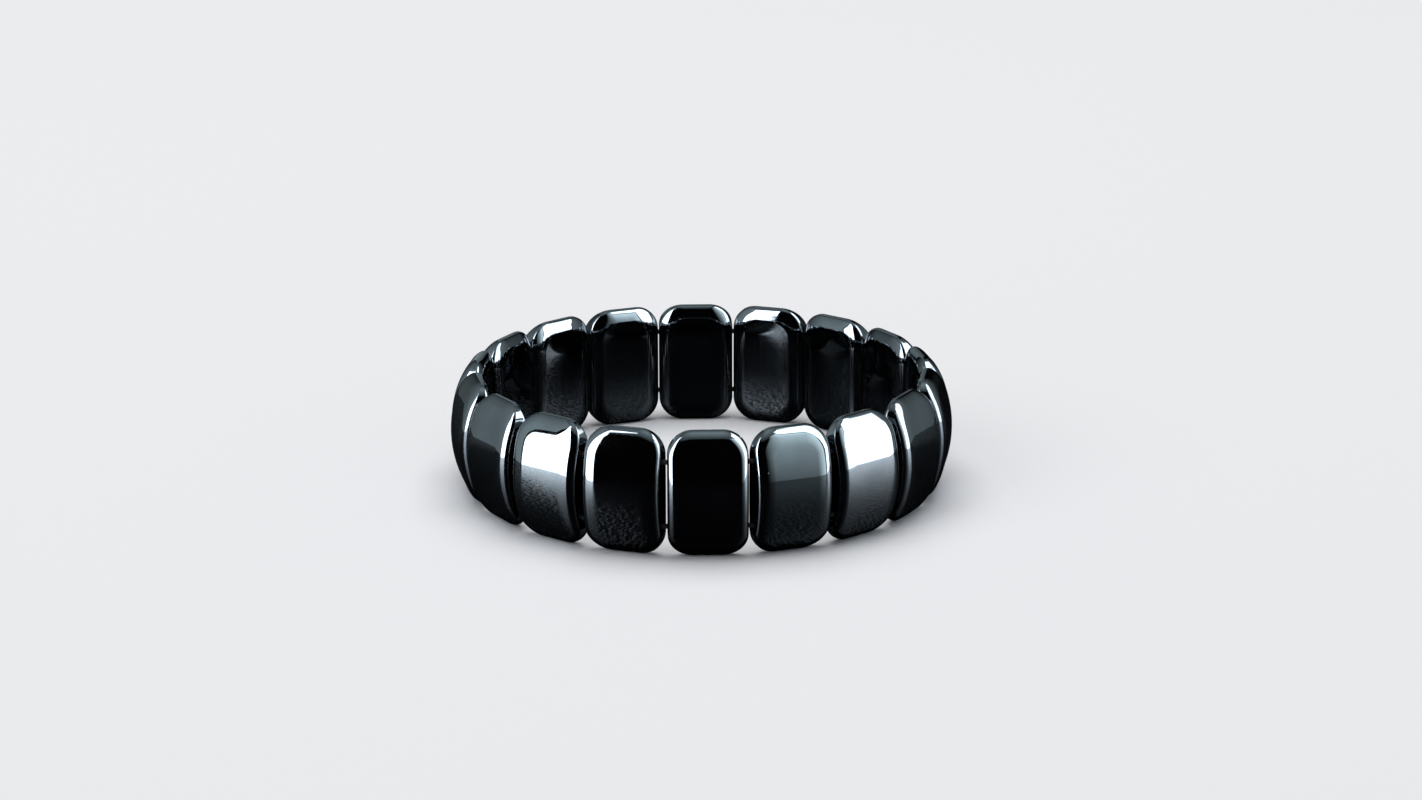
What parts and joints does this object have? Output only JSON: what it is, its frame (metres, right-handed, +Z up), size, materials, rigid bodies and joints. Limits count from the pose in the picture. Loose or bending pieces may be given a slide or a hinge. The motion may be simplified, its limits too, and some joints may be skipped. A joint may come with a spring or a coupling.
{
  "type": "hematite stretch bracelet",
  "caption": "Stretch bracelet of mirror-polished hematite plates with arched outer faces, strung side by side on elastic.",
  "frame": {"origin": "on the ring's axis, in the plane that the plates' lower ends stand on", "axes": "+Z up along the ring's axis, -Y towards plate 01 at the front, +X to the right seen from the front"},
  "size_m": [0.0676, 0.0672, 0.0168],
  "materials": {
    "hematite": "mirror polished, dark steel grey",
    "elastic": "satin black"
  },
  "bodies": {
    "root": {"plate_01": "hematite", "plate_02": "hematite", "plate_03": "hematite", "plate_04": "hematite", "plate_05": "hematite", "plate_06": "hematite", "plate_07": "hematite", "plate_08": "hematite", "plate_09": "hematite", "plate_10": "hematite", "plate_11": "hematite", "plate_12": "hematite", "plate_13": "hematite", "plate_14": "hematite", "plate_15": "hematite", "plate_16": "hematite", "plate_17": "hematite", "plate_18": "hematite", "elastic_upper": "elastic", "elastic_lower": "elastic"}
  },
  "joints": []
}
